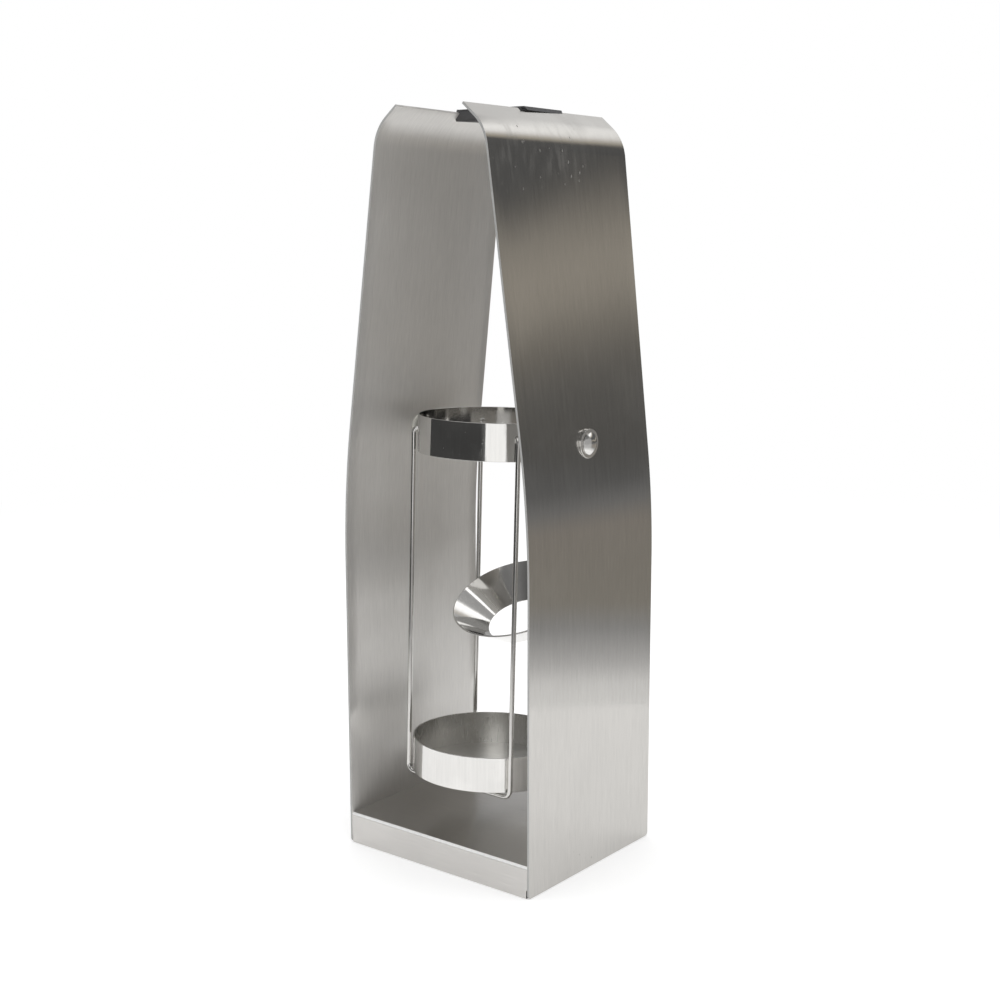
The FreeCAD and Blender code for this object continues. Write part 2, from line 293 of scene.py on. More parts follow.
class CradleHangerSizes(bpy.types.PropertyGroup):
    pivot_height: metres("Pivot height", "Height of the pivot axis", 0.359)
    hang_angle: degrees("Hang", "How far the dish hangs forward", 2.3)
    ring_radius: metres("Ring radius", "Outer radius of the upper ring", half_size("upper_ring", 0))
    ring_height: metres("Ring height", "Height of the upper ring's band", 0.031)
    dish_radius: metres("Dish radius", "Outer radius of the dish", half_size("dish_band", 0))
    dish_rim: metres("Dish rim", "Height of the dish's rim", 0.098)
    dish_height: metres("Dish height", "Height of the dish's band", 0.0295)
    wall: metres("Wall", "Wall of the ring and the dish", 0.0012)
    wire_radius: metres("Wire radius", "Radius of the bent wires", 0.002)
    wire_angle: degrees("Wire angle", "Angle of a wire round the ring, from the pivot axis", 39)
    stand_off: metres("Stand-off", "Gap between a wire and the ring", 0.0014)
    foot_run: metres("Foot run", "Height of the wires' run under the dish", 0.0649)
    hook_rise: metres("Hook rise", "Height of the hooks above the pivot axis", 0.0035)
    hook_bend: metres("Hook bend", "Radius of the wires' upper bends", 0.0045)
    hook_inside: metres("Hook end", "How far a hook reaches inside the ring", 0.0025)
    foot_bend: metres("Foot bend", "Radius of the wires' lower bends", 0.0065)
    mouth_radius: metres("Collar mouth", "Outer radius of the collar's mouth", 0.0562)
    end_radius: metres("Collar end", "Outer radius of the collar's small end", 0.0311)
    collar_height: metres("Collar height", "Height of the cone along its axis", 0.0255)
    collar_wall: metres("Collar wall", "Wall of the cone", 0.0015)
    collar_droop: degrees("Collar droop", "How far the cone's front hangs down", 26.4)
    collar_back: metres("Collar back", "How far behind the pivot the cone's mouth is centred", 0.0282)
    collar_drop: metres("Collar drop", "How far below the pivot the cone's mouth is centred", 0.1451)


class CradleFinish(bpy.types.PropertyGroup):
    sheet_steel: tint("Brushed steel", "Colour of the brushed sides", (0.535, 0.522, 0.50))
    inner_steel: tint("Inner faces", "Colour of the sides' inner faces", (0.80, 0.785, 0.76))
    tray_steel: tint("Tray", "Colour of the tray", (0.60, 0.585, 0.565))
    edge_steel: tint("Edges", "Colour of the sheared edges of the sides", (0.50, 0.50, 0.49))
    # The folds' near-white colour is a painted highlight on the same steel as the tray
    fold_painted_highlight: tint("Fold", "Colour of the tray's bright folded edges", (0.94, 0.94, 0.93))
    polished_steel: tint("Polished steel", "Colour of the ring, dish and collar", (0.72, 0.71, 0.69))
    satin_steel: tint("Dish inside", "Colour of the inside of the dish", (0.72, 0.71, 0.685))
    dish_floor_steel: tint("Dish floor", "Colour of the dish's floor", (0.86, 0.85, 0.82))
    wire_steel: tint("Wires", "Colour of the bent wires", (0.62, 0.61, 0.59))
    rubber: tint("Rubber", "Colour of the clip", (0.10, 0.10, 0.103))
    nylon: tint("Nylon", "Colour of the bushes", (0.72, 0.71, 0.66))
    sheet_roughness: fraction("Brushed roughness", "Roughness of the brushed sides", 0.145)
    inner_roughness: fraction("Inner roughness", "Roughness of the sides' inner faces", 0.5)
    tray_roughness: fraction("Tray roughness", "Roughness of the tray", 0.23)
    edge_roughness: fraction("Edge roughness", "Roughness of sheared and folded edges", 0.45)
    polished_roughness: fraction("Polished roughness", "Roughness of the polished pieces", 0.06)
    satin_roughness: fraction("Satin roughness", "Roughness of the inside of the dish", 0.24)
    dish_floor_roughness: fraction("Dish floor roughness", "Roughness of the dish's floor", 0.3)


class CradleStudio(bpy.types.PropertyGroup):
    lens: FloatProperty(name="Lens", description="Focal length in millimetres", default=58.79, min=1)
    camera_place: FloatVectorProperty(
        name="Camera", description="Where the camera is", default=(0.84277, -1.06034, 0.55887), subtype="XYZ"
    )
    camera_turn: degrees("Camera turn", "Azimuth of the view, from the front", 38.447)
    camera_pitch: degrees("Camera pitch", "How far the camera looks down", 10.736)
    camera_roll: degrees("Camera roll", "Roll of the camera", -0.118)
    floor_lift: fraction("Floor lift", "White that the floor adds for the camera", 0.36)
    sky_light: FloatProperty(
        name="Sky light", description="Strength of the soft light from all round", default=0.8, min=0
    )
    lamp_power: FloatProperty(
        name="Lamp", description="Power of the lamp overhead in watts", default=12, min=0
    )


def sides():
    return bpy.context.scene.cradle_sides


def tray():
    return bpy.context.scene.cradle_tray


def hanger():
    return bpy.context.scene.cradle_hanger


def finish():
    return bpy.context.scene.cradle_finish


def studio():
    return bpy.context.scene.cradle_studio


# Modelling


def start_editing():
    bpy.ops.object.mode_set(mode="EDIT")


def stop_editing():
    bpy.ops.object.mode_set(mode="OBJECT")


def clear_selection():
    bpy.ops.object.select_all(action="DESELECT")


def pick_all():
    bpy.ops.mesh.select_all(action="SELECT")


def apply_place():
    """Moves the selected object's place, turn and size into its mesh."""
    bpy.ops.object.transform_apply(location=True, rotation=True, scale=True)


def named(name):
    """Names the active object and its mesh."""
    piece = bpy.context.object
    piece.name = name
    piece.data.name = name
    return piece


def just_added(name):
    """Names the object that was just added, and brings its origin to the scene's."""
    apply_place()
    return named(name)


def new_piece(name):
    """An empty mesh at the origin, in edit mode, to be drawn in."""
    clear_selection()
    bpy.ops.mesh.primitive_plane_add(size=SEED_SIZE)
    piece = just_added(name)
    start_editing()
    bpy.ops.mesh.select_mode(type="VERT")
    pick_all()
    bpy.ops.mesh.delete(type="VERT")
    return piece


def put_point(place):
    """Adds one point to the outline that is being drawn, and leaves it selected."""
    bpy.ops.mesh.select_all(action="DESELECT")
    bpy.ops.mesh.primitive_plane_add(size=SEED_SIZE, location=place)
    bpy.ops.mesh.merge(type="CENTER")


def run(way, steps=1):
    """Draws on from what is selected, along a straight way."""
    for _ in range(steps):
        bpy.ops.mesh.extrude_region_move(TRANSFORM_OT_translate={"value": Vector(way) / steps})


def turn(centre, axis, angle, steps):
    """Draws on round a centre; a positive angle turns clockwise, seen against the axis."""
    bpy.ops.mesh.spin(steps=steps, angle=angle, center=centre, axis=axis)


def pick(piece, test):
    """Selects the points that pass a test, in edit mode."""
    stop_editing()
    bpy.context.tool_settings.mesh_select_mode = (True, False, False)
    mesh = piece.data
    for group in (mesh.vertices, mesh.edges, mesh.polygons):
        group.foreach_set("select", [False] * len(group))
    for vertex in mesh.vertices:
        vertex.select = test(vertex.co)
    start_editing()


def face_towards(piece, direction):
    """Turns an open sheet's faces over if they look away from a direction."""
    pick_all()
    bpy.ops.mesh.normals_make_consistent(inside=False)
    stop_editing()
    facing = sum(face.normal.dot(direction(face.center)) * face.area for face in piece.data.polygons)
    if facing < 0:
        start_editing()
        pick_all()
        bpy.ops.mesh.flip_normals()
        stop_editing()


def activate(piece):
    if bpy.context.mode != "OBJECT":
        stop_editing()
    clear_selection()
    piece.select_set(True)
    bpy.context.view_layer.objects.active = piece


def apply_modifier(piece, kind, **settings):
    """Adds a modifier with these settings and applies it."""
    activate(piece)
    modifier = piece.modifiers.new(kind.lower(), kind)
    for key, value in settings.items():
        setattr(modifier, key, value)
    bpy.ops.object.modifier_apply(modifier=modifier.name)


def thicken(piece, thickness):
    """Gives an open sheet its thickness, behind the side that its faces look to."""
    apply_modifier(piece, "SOLIDIFY", thickness=thickness, offset=-1, use_even_offset=True)


def cut_away(piece, cutter):
    apply_modifier(piece, "BOOLEAN", object=cutter, operation="DIFFERENCE", solver="EXACT")
    bpy.data.objects.remove(cutter)


def round_edges(piece, width, segments=2, angle=SHARP_ANGLE):
    """Rounds the edges that are sharper than an angle in degrees."""
    apply_modifier(
        piece, "BEVEL", width=width, segments=segments, limit_method="ANGLE", angle_limit=math.radians(angle)
    )


def smooth(piece, angle=SHARP_ANGLE):
    """Shades curved faces smooth and keeps flat faces flat beside their rounded edges."""
    activate(piece)
    bpy.ops.object.shade_smooth_by_angle(angle=math.radians(angle))
    apply_modifier(piece, "WEIGHTED_NORMAL", keep_sharp=True, weight=NORMAL_WEIGHT)


def grain_map(piece, along, across):
    """A UV map in metres, with V along the grain and U across it."""
    layer = piece.data.uv_layers.new(name="grain")
    for loop in piece.data.loops:
        place = piece.data.vertices[loop.vertex_index].co
        layer.data[loop.index].uv = (across(place), along(place))


def place_in_mesh(piece, matrix):
    """Moves a piece by a matrix and keeps its object at the origin."""
    activate(piece)
    piece.matrix_world = matrix @ piece.matrix_world
    apply_place()


def hang(piece):
    """Turns a piece of the cradle about the pivot, to where it hangs at rest."""
    pivot = Vector((0, 0, hanger().pivot_height))
    about = Matrix.Translation(pivot) @ Matrix.Rotation(-hanger().hang_angle, 4, "X")
    place_in_mesh(piece, about @ Matrix.Translation(-pivot))


def mirrored(piece, name):
    """A copy with its own mesh, on the other side of the middle."""
    activate(piece)
    bpy.ops.object.duplicate()
    copy = named(name)
    copy.matrix_world = Matrix.Scale(-1, 4, ALONG_X) @ copy.matrix_world
    apply_place()
    start_editing()
    pick_all()
    bpy.ops.mesh.normals_make_consistent(inside=False)
    stop_editing()
    return copy


def softened(node, name, width, shape=None):
    """A copy of a CAD node with its triangles merged, shaped on request, and its edges rounded."""
    activate(frame["nodes"][node])
    bpy.ops.object.duplicate()
    copy = named(name)
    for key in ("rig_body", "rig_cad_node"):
        del copy[key]
    copy.parent = None
    start_editing()
    bpy.ops.mesh.select_mode(type="VERT")
    pick_all()
    bpy.ops.mesh.remove_doubles(threshold=SAME_POINT)
    bpy.ops.mesh.dissolve_limited(angle_limit=math.radians(FLAT_ANGLE))
    if shape:
        shape(copy)
    stop_editing()
    round_edges(copy, width, angle=SHARP_ON_CAD)
    smooth(copy)
    return copy


def finish_faces(piece, index, test):
    """Gives the faces that pass a test the piece's material of that index."""
    for face in piece.data.polygons:
        if test(face):
            face.material_index = index


def settle(piece, body, node, slot, *finishes):
    """Gives a finished piece its finishes and its body, and hides the node that it stands for."""
    finishes = finishes or (slot,)
    while len(piece.data.materials) < len(finishes):
        piece.data.materials.append(None)
    for index, name in enumerate(finishes):
        piece.data.materials[index] = finish_material(name)
    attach(piece, body)
    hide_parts(node)


# Materials


def set_sockets(tree, node, sockets):
    """Gives each socket a value or another node's output."""
    for name, value in sockets.items():
        if isinstance(value, bpy.types.NodeSocket):
            tree.links.new(value, node.inputs[name])
        else:
            node.inputs[name].default_value = value


def add(tree, kind, sockets=None, **settings):
    """Adds a shader node with these settings and sockets."""
    node = tree.nodes.new("ShaderNode" + kind)
    for name, value in settings.items():
        setattr(node, name, value)
    set_sockets(tree, node, sockets or {})
    return node


def calculate(tree, operation, *values):
    return add(tree, "Math", dict(enumerate(values)), operation=operation).outputs[0]


def vector(tree, operation, *values):
    """Works with places or directions; a length or a dot product gives a number."""
    outputs = add(tree, "VectorMath", dict(enumerate(values)), operation=operation).outputs
    return outputs["Value" if operation in ("LENGTH", "DOT_PRODUCT") else "Vector"]


def fade(tree, value, start, end, low=0.0, high=1.0):
    """Runs smoothly from low to high as a value goes from start to end."""
    sockets = {"Value": value, "From Min": start, "From Max": end, "To Min": low, "To Max": high}
    return add(tree, "MapRange", sockets, interpolation_type="SMOOTHSTEP").outputs["Result"]


def on_object(tree):
    return add(tree, "TexCoord").outputs["Object"]


def new_material(name):
    material = bpy.data.materials.new(name)
    material.use_nodes = True
    return material, material.node_tree, material.node_tree.nodes["Principled BSDF"]


def stretched(tree, place, scale):
    return add(tree, "Mapping", {"Vector": place, "Scale": scale}).outputs["Vector"]


def noise(tree, place, scale, detail=3):
    """Noise from 0 to 1; the scale is per metre along each direction."""
    sockets = {"Vector": stretched(tree, place, scale), "Scale": 1, "Detail": detail}
    return add(tree, "TexNoise", sockets).outputs["Fac"]


def dots(tree, place, scale, size, share):
    """Small scattered dots: a share of cells of 1 / scale metres holds one of this size in cells."""
    cells = add(tree, "TexVoronoi", {"Vector": stretched(tree, place, scale), "Scale": 1})
    chosen = calculate(tree, "LESS_THAN", cells.outputs["Color"], share)
    near = fade(tree, cells.outputs["Distance"], size, size * DOT_CORE)
    return calculate(tree, "MULTIPLY", near, chosen)


def patch(tree, centre, reach):
    """1 in the middle of an ellipsoid round a place on the object, and 0 beyond it."""
    offset = vector(tree, "SUBTRACT", on_object(tree), centre)
    return fade(tree, vector(tree, "LENGTH", vector(tree, "DIVIDE", offset, reach)), 1, PATCH_CORE)


def scaled_colour(tree, colour, shade):
    return add(tree, "VectorMath", {0: colour, "Scale": shade}, operation="SCALE").outputs[0]


def total(tree, base, *weighted):
    """A base value plus each (amount, value)."""
    for amount, value in weighted:
        base = calculate(tree, "MULTIPLY_ADD", value, amount, base)
    return base


def within(tree, places):
    """1 in the middle of any of the (centre, reach) patches, and 0 outside them all."""
    mask = patch(tree, *places[0])
    for place in places[1:]:
        mask = calculate(tree, "MAXIMUM", mask, patch(tree, *place))
    return mask


def relief(tree, strength, height, distance=0.0002):
    """A fine relief whose height of 0 to 1 stands for a distance in metres."""
    sockets = {"Strength": strength, "Distance": distance, "Height": height}
    return add(tree, "Bump", sockets).outputs["Normal"]


def brushed_steel(name, colour, roughness, anisotropy, scuffs=(), pits=()):
    """Sheet steel with brushed grain, faint smudges, scuffs that dull it and small dark pits."""
    material, tree, shader = new_material(name)
    grain = add(tree, "UVMap", uv_map="grain").outputs["UV"]
    fine = noise(tree, grain, FINE_GRAIN)
    broad = noise(tree, grain, BROAD_GRAIN)
    cloud = noise(tree, on_object(tree), CLOUDS)
    shade = total(tree, 0.75, (0.26, fine), (0.12, broad), (0.12, cloud))
    rough = total(tree, roughness - 0.03, (0.035, broad), (0.04, fade(tree, cloud, 0.5, 0.75)))
    if scuffs:
        mask = within(tree, scuffs)
        worn = calculate(tree, "MULTIPLY", mask, fade(tree, noise(tree, grain, SCUFF_GRAIN), 0.45, 0.7))
        specks = calculate(tree, "MULTIPLY", dots(tree, grain, SCUFF_SPECKS, 0.17, 0.75), mask)
        rough = total(tree, rough, (0.1, worn), (0.5, specks))
    if pits:
        pitted = dots(tree, on_object(tree), PITS, 0.2, 0.35)
        pitted = calculate(tree, "MULTIPLY", pitted, within(tree, pits))
        shade = total(tree, shade, (-0.5, pitted))
    tangent = add(tree, "Tangent", direction_type="UV_MAP", uv_map="grain").outputs["Tangent"]
    set_sockets(tree, shader, {
        "Base Color": scaled_colour(tree, colour, shade),
        "Metallic": 1,
        "Roughness": rough,
        "Anisotropic": anisotropy,
        "Tangent": tangent,
        "Normal": relief(tree, 0.25, fine, 0.00002),
    })
    return material


def polished_steel(name, colour, roughness, stretch=POLISH_SCRATCHES, metallic=1.0):
    """Polished steel with fine scratches of a given scale, specks and wiping marks."""
    material, tree, shader = new_material(name)
    place = on_object(tree)
    scratch = noise(tree, place, stretch)
    lines = fade(tree, noise(tree, place, tuple(part * LINES_FINER for part in stretch), 2), 0.55, 0.8)
    wiping = fade(tree, noise(tree, place, POLISH_WIPING, 4), 0.45, 0.7)
    specks = dots(tree, place, POLISH_SPECKS, 0.12, 0.3)
    shade = total(tree, 0.88, (0.16, scratch), (0.06, wiping))
    waves = noise(tree, place, POLISH_WAVES, 1)
    set_sockets(tree, shader, {
        "Base Color": scaled_colour(tree, colour, shade),
        "Metallic": metallic,
        "Roughness": total(tree, roughness, (0.04, wiping), (0.14, lines), (0.25, specks)),
        "Normal": relief(tree, 0.3, total(tree, 0.0, (0.1, scratch), (1.0, waves))),
    })
    return material


def dull_material(name, colour, roughness, grain_scale, bump):
    """Rubber or nylon: a dull surface with a fine uneven skin and slightly uneven colour."""
    material, tree, shader = new_material(name)
    place = on_object(tree)
    grain = noise(tree, place, (grain_scale,) * 3)
    dusty = noise(tree, place, DUST)
    set_sockets(tree, shader, {
        "Base Color": scaled_colour(tree, colour, total(tree, 0.6, (0.8, dusty))),
        "Roughness": total(tree, roughness - 0.1, (0.2, dusty)),
        "Normal": relief(tree, bump, grain),
    })
    return material


def finish_material(name):
    """A finish, made when it is first asked for."""
    title = f"finish_{name}"
    if title in bpy.data.materials:
        return bpy.data.materials[title]
    look = finish()
    edge, polish = look.edge_roughness, look.polished_roughness
    inside, floor = look.satin_roughness, look.dish_floor_roughness
    makers = {
        "side_steel": (
            brushed_steel, look.sheet_steel, look.sheet_roughness, SIDE_STRETCH, SIDE_SCUFFS, SIDE_PITS
        ),
        "side_steel_inner": (brushed_steel, look.inner_steel, look.inner_roughness, INNER_STRETCH),
        "tray_steel": (brushed_steel, look.tray_steel, look.tray_roughness, TRAY_STRETCH, (), TRAY_PITS),
        "sheared_edge": (polished_steel, look.edge_steel, edge, EDGE_SCRATCHES, EDGE_METAL),
        # A painted highlight: near-white, hardly metallic steel on the upper half of the tray's folds
        "folded_edge": (polished_steel, look.fold_painted_highlight, edge, EDGE_SCRATCHES, EDGE_METAL),
        "polished_steel": (polished_steel, look.polished_steel, polish, BAND_SCRATCHES),
        "satin_steel": (polished_steel, look.satin_steel, inside, DISH_WALL_SCRATCHES, DISH_METAL),
        "dish_floor_steel": (polished_steel, look.dish_floor_steel, floor, DISH_FLOOR_SCRATCHES, DISH_METAL),
        "wire_steel": (polished_steel, look.wire_steel, polish * WIRE_DULLER, WIRE_SCRATCHES),
        "fastener_steel": (polished_steel, look.polished_steel, polish * FASTENER_DULLER),
        "clip_rubber": (dull_material, look.rubber, *RUBBER_SKIN),
        "bush_nylon": (dull_material, look.nylon, *NYLON_SKIN),
    }
    maker, *values = makers[name]
    return maker(title, *values)



# Pieces


def draw_side_profile(y, lean, top_height):
    """Draws the outer line of the right side, from its foot to the tip of its lip."""
    s = sides()
    put_point((s.half_width, y, 0))
    run((0, 0, s.straight), UPRIGHT_STEPS)
    wide_x = s.half_width - s.wide_radius
    turn((wide_x, y, s.straight), ALONG_Y, lean, WIDE_BEND_STEPS)
    end_x = wide_x + s.wide_radius * math.cos(lean)
    end_z = s.straight + s.wide_radius * math.sin(lean)
    rise = top_height - end_z
    run((-rise * math.tan(lean), 0, rise), UPRIGHT_STEPS)
    start_x = end_x - rise * math.tan(lean)
    tight_x = start_x - s.tight_radius * math.cos(lean)
    tight_z = top_height - s.tight_radius * math.sin(lean)
    turn((tight_x, y, tight_z), ALONG_Y, s.lip_turn - lean, TIGHT_BEND_STEPS)
    run((-s.lip_length * math.sin(s.lip_turn), 0, s.lip_length * math.cos(s.lip_turn)), LIP_STEPS)


def make_right_side():
    s = sides()
    piece = new_piece("right_side_sheet")
    draw_side_profile(-s.half_depth, s.lean + s.toe_in, s.top_height + s.ridge_fall)
    draw_side_profile(s.half_depth, s.lean - s.toe_in, s.top_height - s.ridge_fall)
    pick_all()
    bpy.ops.mesh.bridge_edge_loops(number_cuts=SIDE_CUTS, interpolation="LINEAR")
    pick(piece, lambda co: co.z < CLOSE and abs(co.y) > s.half_depth - CLOSE)
    bpy.ops.mesh.bevel(offset=s.foot_radius, segments=FOOT_SEGMENTS, affect="VERTICES")
    face_towards(piece, lambda centre: ALONG_X)
    thicken(piece, s.sheet)
    round_edges(piece, EDGE_ROUNDING)
    # The rounding may leave a point a hair past the front or rear edge
    for vertex in piece.data.vertices:
        vertex.co.y = max(-s.half_depth, min(s.half_depth, vertex.co.y))
    bpy.ops.mesh.primitive_cylinder_add(
        vertices=BUSH_HOLE_CORNERS, radius=BUSH_HOLE_RADIUS, depth=BUSH_DRILL_LENGTH,
        location=(BUSH_DRILL_LENGTH / 2, 0, hanger().pivot_height), rotation=(0, QUARTER_TURN, 0),
    )
    cut_away(piece, bpy.context.object)
    smooth(piece)
    grain_map(piece, lambda co: co.z - abs(co.x), lambda co: co.y)
    return piece


class CRADLE_OT_sides(bpy.types.Operator):
    """Bends the two tall sides from sheet"""

    bl_idname = "cradle.sides"
    bl_label = "Sides"

    def execute(self, context):
        right = make_right_side()
        left = mirrored(right, "left_side_sheet")
        for piece, node, outward in ((right, "right_side_panel", 1), (left, "left_side_panel", -1)):
            settle(piece, "frame", node, "side_steel", "side_steel", "side_steel_inner", "sheared_edge")
            finish_faces(piece, 1, lambda face: face.normal.x * outward < INNER_FACE)
            finish_faces(piece, 2, lambda face: abs(face.normal.y) > EDGE_FACE)
        return {"FINISHED"}


def draw_tray_profile(x, reach, floor):
    """Draws the tray's outer line from the front foot over the floor to the rear foot."""
    r = tray().fold_radius
    put_point((x, -reach, 0))
    run((0, 0, floor - r), SKIRT_STEPS)
    turn((x, r - reach, floor - r), ALONG_X, QUARTER_TURN, FOLD_STEPS)
    run((0, 2 * (reach - r), 0), TRAY_STEPS)
    turn((x, reach - r, floor - r), ALONG_X, QUARTER_TURN, FOLD_STEPS)
    run((0, 0, r - floor), SKIRT_STEPS)


class CRADLE_OT_tray(bpy.types.Operator):
    """Folds the tray between the sides"""

    bl_idname = "cradle.tray"
    bl_label = "Tray"

    def execute(self, context):
        low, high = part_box("base_tray")
        half, reach, floor = high.x, high.y, high.z
        t = tray()
        sheet = sides().sheet
        piece = new_piece("folded_tray")
        draw_tray_profile(-half, reach, floor)
        draw_tray_profile(half, reach, floor)
        pick_all()
        bpy.ops.mesh.bridge_edge_loops(number_cuts=TRAY_CUTS, interpolation="LINEAR")
        below_floor = Vector((0, 0, floor / 3))
        face_towards(piece, lambda centre: centre - below_floor)
        thicken(piece, sheet)
        round_edges(piece, TRAY_ROUNDING)
        for side_x, side_y in CORNERS:
            corner = (side_x * (half - t.slit_width / 2), side_y * (reach - sheet / 2), 0)
            slit = (t.slit_width, sheet * 2, t.slit_height * 2)
            bpy.ops.mesh.primitive_cube_add(size=1, location=corner, scale=slit)
            cut_away(piece, bpy.context.object)
        smooth(piece)
        grain_map(piece, lambda co: co.x, lambda co: co.y - abs(co.z))
        settle(piece, "frame", "base_tray", "tray_steel", "tray_steel", "folded_edge")
        # The upper half of each fold gets a near-white, hardly metallic finish: a painted highlight
        finish_faces(piece, 1, lambda face: face.normal.z > PAINTED_HIGHLIGHT_FOLD_FACE and abs(face.normal.y) > PAINTED_HIGHLIGHT_FOLD_FACE)
        return {"FINISHED"}


def make_band(name, radius, low, high, wall):
    """A rolled band with rounded rims."""
    clear_selection()
    bpy.ops.mesh.primitive_cylinder_add(
        vertices=BAND_CORNERS, radius=radius, depth=high - low, end_fill_type="NOTHING",
        location=(0, 0, (low + high) / 2),
    )
    piece = just_added(name)
    thicken(piece, wall)
    round_edges(piece, wall * RIM_ROUNDING, RIM_SEGMENTS)
    return piece


class CRADLE_OT_ring(bpy.types.Operator):
    """Rolls the upper ring and drills it for the wires' hooks"""

    bl_idname = "cradle.ring"
    bl_label = "Ring"

    def execute(self, context):
        h = hanger()
        low = h.pivot_height - h.ring_height / 2
        piece = make_band("polished_ring", h.ring_radius, low, low + h.ring_height, h.wall)
        hole_height = h.pivot_height + h.hook_rise - HOOK_HOLE_DROP
        for side_x, side_y in CORNERS:
            out = Vector((side_x * math.cos(h.wire_angle), side_y * math.sin(h.wire_angle), 0))
            bpy.ops.mesh.primitive_cylinder_add(
                vertices=HOOK_HOLE_CORNERS, radius=h.wire_radius + HOOK_HOLE_ROOM,
                depth=HOOK_DRILL_LENGTH, location=out * h.ring_radius + ALONG_Z * hole_height,
                rotation=out.to_track_quat("Z", "Y").to_euler(),
            )
            cut_away(piece, bpy.context.object)
        smooth(piece)
        hang(piece)
        settle(piece, "cradle", "upper_ring", "polished_steel")
        return {"FINISHED"}


class CRADLE_OT_dish(bpy.types.Operator):
    """Rolls the dish's band and closes it with its floor"""

    bl_idname = "cradle.dish"
    bl_label = "Dish"

    def execute(self, context):
        h = hanger()
        bottom = h.dish_rim - h.dish_height
        band = make_band("polished_dish_band", h.dish_radius, bottom, h.dish_rim, h.wall)
        smooth(band)
        hang(band)
        settle(band, "cradle", "dish_band", "polished_steel", "polished_steel", "satin_steel")
        finish_faces(band, 1, lambda face: face.normal.xy.dot(face.center.xy) < 0)
        clear_selection()
        bpy.ops.mesh.primitive_circle_add(
            vertices=DISH_FLOOR_CORNERS, radius=h.dish_radius - h.wall, fill_type="NGON",
            location=(0, 0, bottom + h.wall),
        )
        floor = just_added("polished_dish_floor")
        start_editing()
        pick_all()
        for _ in range(DISH_FLOOR_RINGS):
            bpy.ops.mesh.inset(thickness=h.dish_radius / (DISH_FLOOR_RINGS + 2))
        face_towards(floor, lambda centre: ALONG_Z)
        thicken(floor, h.wall)
        smooth(floor)
        hang(floor)
        settle(floor, "cradle", "dish_floor", "polished_steel", "dish_floor_steel")
        return {"FINISHED"}


def make_yoke(name, side_y):
    """A wire from a hook in the ring, down, under the dish and up to the other hook."""
    h = hanger()
    reach = max(h.ring_radius, h.dish_radius) + h.stand_off + h.wire_radius
    left = Vector((-math.cos(h.wire_angle), side_y * math.sin(h.wire_angle), 0))
    right = Vector((-left.x, left.y, 0))
    hook_height = h.pivot_height + h.hook_rise
    straight_hook = reach - h.hook_bend - (h.ring_radius - h.wall - h.hook_inside)
    start = left * (h.ring_radius - h.wall - h.hook_inside) + ALONG_Z * hook_height
    clear_selection()
    bpy.ops.mesh.primitive_circle_add(
        vertices=WIRE_CORNERS, radius=h.wire_radius, fill_type="NOTHING",
        location=start, rotation=left.to_track_quat("Z", "Y").to_euler(),
    )
    piece = just_added(name)
    start_editing()
    bpy.ops.mesh.select_mode(type="VERT")
    pick_all()
    run(left * straight_hook)
    bend_in = left * (reach - h.hook_bend) + ALONG_Z * (hook_height - h.hook_bend)
    turn(bend_in, left.cross(ALONG_Z), QUARTER_TURN, WIRE_BEND_STEPS)
    drop = hook_height - h.hook_bend - h.foot_run - h.foot_bend
    run((0, 0, -drop))
    foot_x = reach * math.cos(h.wire_angle)
    foot_y = side_y * reach * math.sin(h.wire_angle)
    foot_z = h.foot_run + h.foot_bend
    turn((h.foot_bend - foot_x, foot_y, foot_z), ALONG_Y, QUARTER_TURN, WIRE_BEND_STEPS)
    run((2 * (foot_x - h.foot_bend), 0, 0))
    turn((foot_x - h.foot_bend, foot_y, foot_z), ALONG_Y, QUARTER_TURN, WIRE_BEND_STEPS)
    run((0, 0, drop))
    bend_in = right * (reach - h.hook_bend) + ALONG_Z * (hook_height - h.hook_bend)
    turn(bend_in, ALONG_Z.cross(right), QUARTER_TURN, WIRE_BEND_STEPS)
    run(-right * straight_hook)
    close_wire_end(piece, start)
    close_wire_end(piece, Vector((-start.x, start.y, start.z)))
    pick_all()
    bpy.ops.mesh.normals_make_consistent(inside=False)
    smooth(piece, SHARP_ON_WIRE)
    hang(piece)
    return piece


def close_wire_end(piece, end):
    """Fills a wire's end and rounds its edge."""
    radius = hanger().wire_radius
    pick(piece, lambda co: (co - end).length < radius * WIRE_END_REACH)
    bpy.ops.mesh.edge_face_add()
    bpy.ops.mesh.select_mode(type="EDGE")
    bpy.ops.mesh.bevel(offset=radius * RIM_ROUNDING, segments=RIM_SEGMENTS, affect="EDGES")
    bpy.ops.mesh.select_mode(type="VERT")


class CRADLE_OT_wires(bpy.types.Operator):
    """Bends the two wires that carry the dish"""

    bl_idname = "cradle.wires"
    bl_label = "Wires"

    def execute(self, context):
        for name, side_y in (("front", -1), ("rear", 1)):
            piece = make_yoke(f"{name}_bent_wire", side_y)
            settle(piece, "cradle", f"{name}_wire_yoke", "wire_steel")
        return {"FINISHED"}


class CRADLE_OT_collar(bpy.types.Operator):
    """Spins the cone of the collar and adds its two eyes"""

    bl_idname = "cradle.collar"
    bl_label = "Collar"

    def execute(self, context):
        h = hanger()
        clear_selection()
        bpy.ops.mesh.primitive_cone_add(
            vertices=CONE_CORNERS, radius1=h.end_radius, radius2=h.mouth_radius, depth=h.collar_height,
            end_fill_type="NOTHING", location=(0, 0, -h.collar_height / 2),
        )
        piece = just_added("polished_cone")
        thicken(piece, h.collar_wall)
        round_edges(piece, h.collar_wall * RIM_ROUNDING, RIM_SEGMENTS)
        smooth(piece)
        mouth = Matrix.Translation((0, h.collar_back, h.pivot_height - h.collar_drop))
        place_in_mesh(piece, mouth @ Matrix.Rotation(h.collar_droop, 4, "X"))
        hang(piece)
        settle(piece, "collar", "cone_collar", "polished_steel")
        for side in ("right", "left"):
            eye = softened(f"{side}_collar_eye", f"{side}_eye", EDGE_ROUNDING)
            settle(eye, "collar", f"{side}_collar_eye", "polished_steel")
        return {"FINISHED"}


